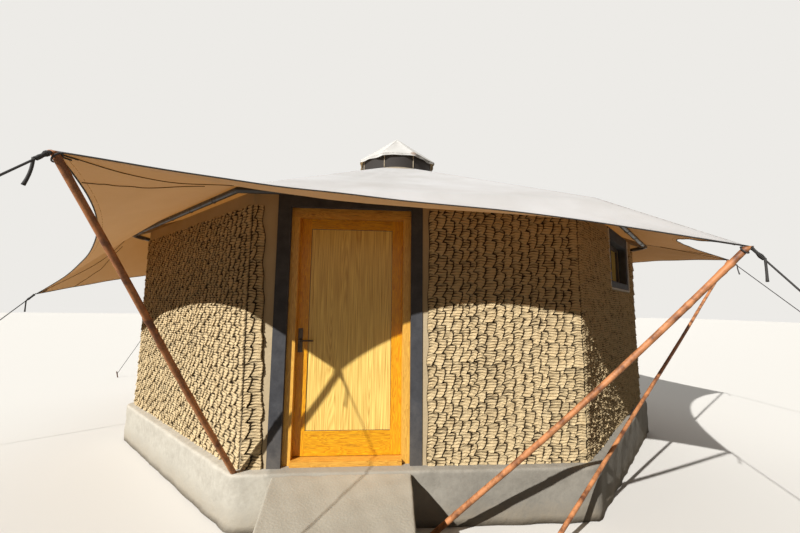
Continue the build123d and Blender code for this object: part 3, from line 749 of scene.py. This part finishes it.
# Roof frame
# A ring of black steel tube round the eaves, eight timber hip rafters and a timber ring at the crown.
black_steel, tree, place = start_material("black_enamelled_steel")
# Enamel over drawn tube, glossy where clean, scuffed grey-brown in places.
scuff = noise(tree, place, 22, 6, 0.7)
base = mix(tree, scuff, "#141414", "#3A332C")
wear(tree, base, ramp(tree, scuff, 0.3, 0.7, 0.28, 0.6))
dress("eave_rail", black_steel)

# Softwood as sawn, matt, weathered grey, with saw marks and grain.
sawn_timber = speckled("sawn_pale_timber", "#857560", "#B8AA92", 30, 6, 0.85)
for node in ("hip_rafters", "crown_ring", "vent_posts"):
    dress(node, sawn_timber)


# Canvas
# Heavy cotton tent canvas, eight gores sewn into one sheet and stretched from the crown over the
# hips and the rail to eight tips; between the tips its hem is cut in a hollow curve.
WALL_R = WALL_APOTHEM / cos(HALF)
RAIL_CORNER = WALL_R + 0.196
HIP_SLOPE = tan(radians(23))
CANVAS_OVER_CORNER = 0.0637          # underside over a wall corner
CROWN_EDGE_R = 0.693
# each tip beyond its wall corner and below the wall top, each hem drawn in and up at its middle
TIPS = ((1.163, 0.580), (1.180, 0.276), *[(1.2, 0.34)] * 4, (1.084, 0.863), (1.385, 0.240))
HEMS = ((0.443, 0.195), *[(0.4, 0.15)] * 5, (0.331, 0.103), (0.440, 0.135))
CANVAS_HALF_T = 0.0012
PANEL_SAG = 0.022
RAIL_HOLD = 0.07                     # share of a flap that lies on the rail before it sags
FLAP_BELLY = (*[0.03] * 6, 0.02, 0.085)
FRONT_HEM_SWAY = 0.024               # the front hem hangs lower left of its middle and higher right of it
PLEAT = 0.007                        # folds that run out to a tip
GORE_COLUMNS, PANEL_ROWS, FLAP_ROWS = 40, 22, 30


def corner_point(corner, distance, z):
    """The point at a height and a distance from the middle, towards a corner."""
    turn = -pi / 2 + HALF + (corner % SIDES) * 2 * HALF
    return np.array([distance * cos(turn), distance * sin(turn), z])


def hip_point(corner, distance):
    """A point of the straight slope over a rafter."""
    under = WALL_TOP + CANVAS_OVER_CORNER + (WALL_R - distance) * HIP_SLOPE
    return corner_point(corner, distance, under + CANVAS_HALF_T)


def tip_point(corner):
    """The end of a tip of the canvas."""
    reach, drop = TIPS[corner % SIDES]
    return corner_point(corner, WALL_R + reach, WALL_TOP - drop + CANVAS_HALF_T)


def hem_line(side, u):
    """A parabola between two tips, drawn inwards and up at its middle."""
    a, b = tip_point(side), tip_point(side + 1)
    inward, lift = HEMS[side]
    middle = (a + b) / 2
    pull = -middle * [1, 1, 0]
    middle = middle + 2 * (pull / np.linalg.norm(pull) * inward + [0, 0, lift])
    sway = np.array([0, 0, -FRONT_HEM_SWAY]) * np.sin(2 * pi * u) * (side == 7)
    return (1 - u) ** 2 * a + 2 * u * (1 - u) * middle + u ** 2 * b + sway


def lay_gore(side, u, t):
    """One gore: t from 0 to 1 is the panel between crown and rail, from 1 to 2 the flap out to the
    hem. Both are straight lines between their edges, less a sag, plus pleats that run to the tips."""
    u, t = u[..., None], t[..., None]
    top = hip_point(side, CROWN_EDGE_R) * (1 - u) + hip_point(side + 1, CROWN_EDGE_R) * u
    eave = hip_point(side, RAIL_CORNER) * (1 - u) + hip_point(side + 1, RAIL_CORNER) * u
    p, f = np.clip(t, 0, 1), np.clip(t - 1, 0, 1)
    point = np.where(t < 1, top + (eave - top) * p, eave + (hem_line(side, u) - eave) * f)
    beyond = np.clip((f - RAIL_HOLD) / (1 - RAIL_HOLD), 0, 1)
    belly = FLAP_BELLY[side] * np.sin(pi * beyond ** 0.85) * np.sin(pi * u) ** 0.7
    hollow = PANEL_SAG * np.sin(pi * p) * np.sin(pi * u) + belly
    near = np.minimum(u, 1 - u)
    width = np.linalg.norm(hip_point(side, RAIL_CORNER) - hip_point(side + 1, RAIL_CORNER))
    turn = near * width * (1 + f) / (0.15 + np.abs(1.02 - f) * 1.3)
    pleats = np.sin(turn * 9 + side) * np.exp(-near * 5) * f * (1 - f ** 6) * np.minimum(1, near * 30)
    long_folds = ripple(u * width * 3.2 + side * 7, t * 0.5, 1.0, 11)
    long_folds = long_folds * np.sin(pi * u) * np.sin(pi * p * 0.96 + 0.1)
    soft = ripple(point[..., 0:1], point[..., 1:2], 0.7, 12)
    z = -hollow + PLEAT * pleats + 0.006 * long_folds + 0.005 * soft * np.sin(pi * np.clip(u, 0, 1)) ** 0.5
    return point + np.concatenate([0 * z, 0 * z, z], -1)


even_u = np.linspace(0, 1, GORE_COLUMNS + 1)[:-1]
gore_u = 0.5 - 0.5 * np.sign(0.5 - even_u) * np.abs(1 - 2 * even_u) ** 0.85
rows_t = np.concatenate([np.linspace(0, 1, PANEL_ROWS)[:-1], 1 + np.linspace(0, 1, FLAP_ROWS) ** 0.9])
grid_u, grid_t = np.meshgrid(gore_u, rows_t)
cloth = np.concatenate([lay_gore(side, grid_u, grid_t) for side in range(SIDES)], 1)
gore_width = 0.2 + np.clip(grid_t, 0, 1) * 0.85 + 0.3 * np.clip(grid_t - 1, 0, 1)
near_hip = np.minimum(grid_u, 1 - grid_u) * SIDE_LENGTH * gore_width
hip_gap = np.tile(near_hip, (1, SIDES))
steps = np.linalg.norm(np.diff(cloth, axis=0), axis=-1)
from_hem = np.concatenate([np.cumsum(steps[::-1], 0)[::-1], np.zeros((1, cloth.shape[1]))])


def cloth_material(name, bleached, stained, through, share):
    """Proofed cotton canvas: a plain weave, matt, bleached by the sun and warm where light comes
    through it. Reads the piece's hem and hip attributes."""
    made, tree, place = start_material(name)
    hem = add(tree, "Attribute", attribute_name="hem")
    hip = add(tree, "Attribute", attribute_name="hip")
    stain = noise(tree, place, 1.3, 6, 0.6)
    weave = noise(tree, place, 190, 2)
    tone = ramp(tree, stain, 0.35, 0.75, 0.0, 0.55)
    base = mix(tree, tone, bleached, stained)
    # stitches 36 mm in from the hem and 11 mm either side of a hip, drawn coarse enough to show
    line = None
    for value, at in ((hem.outputs["Fac"], 0.036), (hip.outputs["Fac"], 0.011)):
        gap = maths(tree, "SUBTRACT", value, at)
        gap = maths(tree, "ABSOLUTE", gap)
        near = ramp(tree, gap, 0.0012, 0.003, 0.85, 0.0)
        line = near if line is None else maths(tree, "MAXIMUM", line, near)
    thread = noise(tree, place, 60, 0)
    gaps = ramp(tree, thread, 0.42, 0.5)
    sewn = maths(tree, "MULTIPLY", line, gaps)
    base = mix(tree, sewn, base, "#2A2119")
    shader = wear(tree, base, 0.9, (weave, 0.0012), {"Specular IOR Level": 0.25})
    light_through = add(tree, "BsdfTranslucent", {"Color": linear(through)})
    both = add(tree, "MixShader", {0: share, 1: shader.outputs[0], 2: light_through.outputs[0]})
    tree.links.new(both.outputs[0], tree.nodes["Material Output"].inputs[0])
    return made


tent_canvas = cloth_material("proofed_tent_canvas", "#D2D0CD", "#B0ABA2", "#E0984A", 0.19)
canvas = make_piece("roof_canvas_cloth", (cloth, grid_faces(*cloth.shape[:2], round_columns=True)[:, ::-1]),
                    tent_canvas)
give(canvas, "hem", from_hem)
give(canvas, "hip", hip_gap)
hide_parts(*["roof_canvas_" + name for name in SIDE_NAMES])


# Canvas seams
# Dark thread in raised felled seams: one beside each hip from the rail out to the tip, and a shorter
# one where the flap is pieced, from that seam to the hem.
SEAM_R, SEAM_UNDER = 0.0030, 0.0048
SEAM_BESIDE_HIP = 0.05               # the first seam's greatest distance from the hip, as a share of the gore
PIECING = (0.90, 0.06)               # the second seam's place across the gore, and how far it leans
# Waxed thread and tape, dull brown-black.
seam_thread = speckled("dark_seam_thread", "#241C14", "#6B563C", 90, 2, 0.85)
beside_t, pieced_t = np.linspace(1.03, 1.93, 34), np.linspace(1.22, 1.985, 28)
beside_u = 1 - SEAM_BESIDE_HIP * np.sin(pi * (beside_t - 1))
pieced_u = PIECING[0] + PIECING[1] * np.clip((1.65 - pieced_t) / 0.5, 0, 1)
seams = [tube(lay_gore(side, u, t) - [0, 0, SEAM_UNDER], SEAM_R, 6)
         for side in range(SIDES) for u, t in ((beside_u, beside_t), (pieced_u, pieced_t))]
make_piece("canvas_seams", joined(seams), seam_thread)


# Edge rope
# Black cord sewn into the hem all round, so that the pull of the tips runs along it.
EDGE_ROPE_R = 0.0045

# Braided synthetic cord, dull black, dusty on its strands.
black_rope = speckled("black_braided_rope", "#121212", "#3B3733", 220, 3, 0.75, 0.0015)
edge = cloth[-1] - [0, 0, 0.001]
edge_rope = make_piece("hem_rope", tube(edge, EDGE_ROPE_R, 8, close=True), black_rope)


# Eave lacing
# Cotton cord hooked round the rail and back through the canvas, close together beside the corners of
# the rail and far apart between.
RAIL_LOW, RAIL_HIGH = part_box("eave_rail")
RAIL_R, RAIL_Z = (RAIL_HIGH.z - RAIL_LOW.z) / 2, (RAIL_LOW.z + RAIL_HIGH.z) / 2
LACE_R, LACE_OUT = 0.0032, 0.0022
BARE_CORNER = 7                      # the corner left of the door has lost its lacing
# Laid cotton cord, off-white, grey with handling.
lace_cord = speckled("cotton_lacing_cord", "#5F584E", "#B2A999", 160, 3, 0.9)
hook = np.radians(np.linspace(-118, 118, 15))[:, None]
laces = []
for side in range(SIDES):
    start, end = corner_point(side, RAIL_CORNER, RAIL_Z), corner_point(side + 1, RAIL_CORNER, RAIL_Z)
    length = np.linalg.norm(end - start)
    run = (end - start) / length
    away = np.array([run[1], -run[0], 0])
    beside = 0.07 + 0.026 * np.arange(7)
    ends = [end for end, corner in ((beside, side), (length - beside, side + 1)) if corner != BARE_CORNER]
    for at in np.concatenate([*ends, np.linspace(0.45, length - 0.45, 5)]):
        lean = 0.010 * np.sin(hook)
        bend = np.sin(hook) * away - np.cos(hook) * [0, 0, 1]
        path = start + (at + lean) * run + (RAIL_R + LACE_OUT) * bend
        laces.append(tube(path, LACE_R, 6, reference=run))
make_piece("eave_lacing", joined(laces), lace_cord)


# Vent cap
# A small canvas cone of eight facets over the vent, its hem hanging loose a little below the frame.
CAP_R, CAP_EAVE, CAP_TOP = 0.715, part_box("vent_cap")[0].z + 0.012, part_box("vent_cap")[1].z
CAP_VALANCE = 0.045                  # the loose hem below the eave
CAP_COLUMNS, CAP_ROWS = 14, 26
STAIN_AT = (0.245, -0.655, 4.275)
cap_u = np.arange(CAP_COLUMNS) / CAP_COLUMNS
cap_v = np.linspace(0.004, 1, CAP_ROWS)
cap_grid_u, cap_grid_v = np.meshgrid(cap_u, cap_v)


def cap_facet(side):
    """A facet from the apex to the eave: straight lines, hollowed a little between the ribs, and the
    last tenth drooping with a small flutter."""
    u, v = cap_grid_u[..., None], cap_grid_v[..., None]
    a, b = corner_point(side, CAP_R, CAP_EAVE), corner_point(side + 1, CAP_R, CAP_EAVE)
    apex = np.array([0, 0, CAP_TOP - 0.006])
    point = apex + ((1 - u) * a + u * b - apex) * v
    round_turn = (side + cap_grid_u)[..., None] * 2 * HALF
    hollow = 0.018 * np.sin(pi * u) * np.sin(pi * v) - 0.004 * np.sin(9 * round_turn) * v ** 4
    droop = 0.006 * np.clip((v - 0.9) / 0.1, 0, 1) * (1 + 0.5 * np.sin(5 * round_turn))
    return point - np.concatenate([0 * u * v, 0 * u * v, hollow + droop], -1)


cap_cloth = np.concatenate([cap_facet(side) for side in range(SIDES)], 1)
around = np.linspace(0, 2 * pi, cap_cloth.shape[1], endpoint=False)
down = np.linspace(0, 1, 7)[1:, None]
flutter = 1 + 0.16 * np.sin(5 * around) + 0.1 * np.sin(13 * around + 1)
valance = cap_cloth[-1] * (1 - [0.012, 0.012, 0] * down[..., None] * np.sin(16 * around)[:, None])
valance = valance - np.array([0, 0, CAP_VALANCE]) * (down * flutter)[..., None]
cap_cloth = np.concatenate([cap_cloth, valance])
cap_canvas = cloth_material("proofed_vent_canvas", "#EAE7E0", "#A8A298", "#DDB474", 0.2)
# a rain stain on the hem, right of the front facet
tree = cap_canvas.node_tree
clean = tree.nodes["Principled BSDF"].inputs["Base Color"]
place = tree.nodes["Texture Coordinate"].outputs["Object"]
away = add(tree, "VectorMath", {0: place, 1: STAIN_AT}, operation="DISTANCE").outputs["Value"]
ragged = add(tree, "TexNoise", {"Scale": 40, "Detail": 3})
away = maths(tree, "MULTIPLY_ADD", ragged.outputs["Fac"], 0.06, away)
stained = ramp(tree, away, 0.06, 0.10, 0.6, 0.0)
tree.links.new(mix(tree, stained, clean.links[0].from_socket, "#8E6440"), clean)
cap = make_piece("vent_cap_cloth", (cap_cloth, grid_faces(*cap_cloth.shape[:2], round_columns=True)[:, ::-1]),
                 cap_canvas)
cap_hem = np.tile((1 - cap_grid_v) * CAP_R * 1.2 + 0.046, (1, SIDES))
cap_hem = np.concatenate([cap_hem, 0.046 * (1 - down) + 0 * around])
cap_hip = np.tile(np.minimum(cap_grid_u, 1 - cap_grid_u) * cap_grid_v * CAP_R * 0.765, (1, SIDES))
cap_hip = np.concatenate([cap_hip, np.repeat(cap_hip[-1:], len(down), 0)])
give(cap, "hem", cap_hem)
give(cap, "hip", cap_hip)
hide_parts("vent_cap")

# Vent mesh
# Black insect mesh on a drum between the crown and the cap, held by upright battens.
BATTEN_R = 0.0085
SCREEN_LOW, SCREEN_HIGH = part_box("vent_screen")
# Woven wire far too fine to show, so it reads as a dull dark cloth with a faint speckle, drawn coarse.
vent_mesh = speckled("black_insect_mesh", "#120D0B", "#362D26", 150, 1, 0.8)
dress("vent_screen", vent_mesh)
battens = []
for corner in range(SIDES):
    foot = corner_point(corner, SCREEN_HIGH.x + BATTEN_R * 0.6, SCREEN_LOW.z + 0.004)
    head = np.array([*foot[:2], SCREEN_HIGH.z - 0.012])
    climb = np.linspace(0, 1, 9)[:, None]
    thick = BATTEN_R * (1 + 0.05 * np.sin(climb[:, 0] * 9 + corner))
    battens.append(tube(foot + (head - foot) * climb, thick, 8, reference=(1, 0, 0)))
make_piece("vent_battens", joined(battens), sawn_timber)


# Poles
# Peeled young poplar trunks, a little crooked, with knots where the branches were cut; each stands
# under a canvas tip and is cut off level.
POLE_R, THIN_POLE_R = 0.020, 0.0155
FRONT_FOOT, SIDE_FOOT = (0.0698, -3.604, 0), (0.748, -3.949, 0)
LEDGE_FOOT = 0.062
KNOTS, KNOT_OUT, KNOT_LONG = 7, 0.22, 0.016      # their number, rise in radii and length
POLE_ROWS, POLE_AROUND = 150, 20


def ledge_foot(corner):
    """Where a pole stands on the plinth's ledge."""
    return corner_point(corner, WALL_R + LEDGE_FOOT, PLINTH_TOP)


def pole_ways(foot, head):
    """A pole's direction and two square to it, the first of them level."""
    axis = (head - foot) / np.linalg.norm(head - foot)
    side_way = np.cross(axis, (0, 0, 1))
    side_way = side_way / np.linalg.norm(side_way)
    return axis, side_way, np.cross(side_way, axis)


def peeled_pole(foot, head, radius, head_z, seed, bow=0.0):
    """A round bar from foot to head whose centre sinks in one bow and wanders a few millimetres, and
    whose radius swells at knots, each a short bulge on one side. It is cut level at both ends, where
    a point past the cut moves back along the pole."""
    draw = np.random.default_rng(seed)
    foot = np.array(foot, float)
    axis, side_way, other = pole_ways(foot, head)
    length = np.linalg.norm(head - foot)
    along = np.linspace(-3 * radius, length + 3 * radius, POLE_ROWS)[:, None]
    turn = np.arange(POLE_AROUND)[None] * 2 * pi / POLE_AROUND
    r = 1.04 - 0.08 * along / length + 0.02 * np.sin(3 * turn + along * 5) + 0.015 * np.sin(along * 17)
    r = radius * r
    for place_at in np.sort(draw.uniform(0.12, length - 0.12, KNOTS)):
        way = draw.uniform(0, 2 * pi)
        bulge = 0.35 + 0.65 * np.exp(2 * (np.cos(turn - way) - 1))
        r = r + radius * KNOT_OUT * np.exp(-((along - place_at) / KNOT_LONG) ** 2) * bulge
    phase = draw.uniform(0, 2 * pi, 2)
    share = np.clip(along / length, 0, 1)
    wander = np.stack([np.sin(along * 2.3 + phase[0]), np.sin(along * 1.7 + phase[1])])
    wander = 0.005 * np.sin(pi * share) * wander
    sink = -bow * np.sin(pi * share ** 1.3)
    centre = foot + along * axis + wander[0] * side_way + (wander[1] + sink) * other
    ring = centre[:, None] + r[..., None] * spun(turn[..., None], side_way, other)
    past = ring[..., 2] - np.clip(ring[..., 2], foot[2], head_z)
    ring = ring - (past / axis[2])[..., None] * axis
    ring = capped(ring, ring[[0, -1]].mean(1))
    return ring, grid_faces(*ring.shape[:2], round_columns=True)


peeled_wood, tree, place = start_material("peeled_poplar_pole")
# Bare wood weathered orange and grey-brown, satin from handling, with dark knots.
long_grain = noise(tree, place, 9, 7, 0.65)
fleck = noise(tree, place, 3, 3)
base = mix(tree, fleck, "#BC7442", "#CB8E5D")
tone = ramp(tree, long_grain, 0.44, 0.64)
base = mix(tree, tone, base, "#5E351C")
wear(tree, base, 0.6, (long_grain, 0.003))
# each pole's corner, foot, radius and bow
POLES = {"front_pole_right": [(0, FRONT_FOOT, POLE_R, 0.026)],
         "side_pole_right": [(1, SIDE_FOOT, THIN_POLE_R, 0.012)],
         "front_pole_left": [(7, ledge_foot(7), POLE_R, 0.004)],
         "rear_poles": [(corner, ledge_foot(corner), POLE_R, 0.006) for corner in range(2, 6)]}
for node, poles in POLES.items():
    shapes = [peeled_pole(foot, tip_point(corner), radius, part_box(node)[1].z, 60 + corner, bow)
              for corner, foot, radius, bow in poles]
    pole = make_piece(node + "_peeled", joined(shapes), peeled_wood, merge=1e-6)
    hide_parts(node)

# Tip ties
# Black rope: a slanting loop round each pole's head, two short straps sewn under the canvas, and the
# end of the guy rope wound back round it and left to hang.
GUY_SLOPES = (55, 45, 50, 50, 50, 50, 48, 43)    # degrees below level
GUY_TURNS = (0, 0, 0, 0, 0, 0, 0, 20.7)          # and anticlockwise of straight out
LOOP_R, LOOP_BELOW, LOOP_SLANT = 0.0042, 0.014, 0.034
STRAP_R = 0.0046
WOUND_FROM, WOUND_TO, WOUND_R, GUY_R = 0.014, 0.112, 0.0036, 0.005
TAIL, TAIL_R = 0.125, 0.0068
ties = []
for corner, foot, radius, bow in (row for poles in POLES.values() for row in poles):
    head = tip_point(corner)
    axis, side_way, other = pole_ways(foot, head)
    turn = np.linspace(0, 2 * pi, 33)[:-1, None]
    loop = head - (LOOP_BELOW + LOOP_SLANT * (0.5 + 0.5 * np.cos(turn))) * axis
    loop = loop + (radius * 1.06 + LOOP_R) * spun(turn, side_way, other)
    ties.append(tube(loop, LOOP_R, 8, close=True, reference=axis))
for corner in range(SIDES):
    for run_t, beside in ((np.linspace(1.925, 1.985, 8), 0), (np.linspace(1.955, 1.985, 6), 0.010)):
        strap = lay_gore(corner - 1, 1 - SEAM_BESIDE_HIP * np.sin(pi * (run_t - 1)) - beside, run_t)
        ties.append(tube(strap - [0, 0, 0.006], STRAP_R, 8))
    turn = -pi / 2 + HALF + corner * 2 * HALF + radians(GUY_TURNS[corner])
    way = np.array([cos(turn), sin(turn), -tan(radians(GUY_SLOPES[corner]))])
    way = way / np.linalg.norm(way)
    level_way = np.array([-sin(turn), cos(turn), 0])
    third = np.cross(way, level_way)
    start = tip_point(corner) + [0, 0, 0.0038]
    along = np.linspace(WOUND_FROM, WOUND_TO, 130)[:, None]
    wind = (along - WOUND_FROM) / (WOUND_R * 2.2) * 2 * pi
    slack = 0.9 + 0.9 * ripple(along * 5 + corner, along * 0, 0.22, 31)
    coil = start + along * way + (GUY_R + WOUND_R * slack) * spun(wind, level_way, third)
    ties.append(tube(coil, WOUND_R, 8, reference=way))
    hang = np.linspace(0, 1, 14)[:, None]
    drift = (0.012 * np.sin(hang * 2.4) - 0.030 * hang) * level_way + 0.012 * hang ** 2 * way
    thick = TAIL_R * (1 + 0.25 * hang[:, 0] ** 6)
    ties.append(tube(coil[-1] - hang * [0, 0, TAIL] + drift, thick, 10, reference=level_way))
make_piece("tip_ties", joined(ties), black_rope)


# Guy ropes and pegs
# Black rope from each tip to a steel peg driven into the ground.
dress("guy_ropes", black_rope)
# Bare steel rod, dull, brown with rust.
peg_steel = speckled("rusty_peg_steel", "#3A322C", "#7A4A2A", 60, 6, 0.7, others={"Metallic": 0.4})
dress("ground_pegs", peg_steel)

bpy.context.view_layer.update()
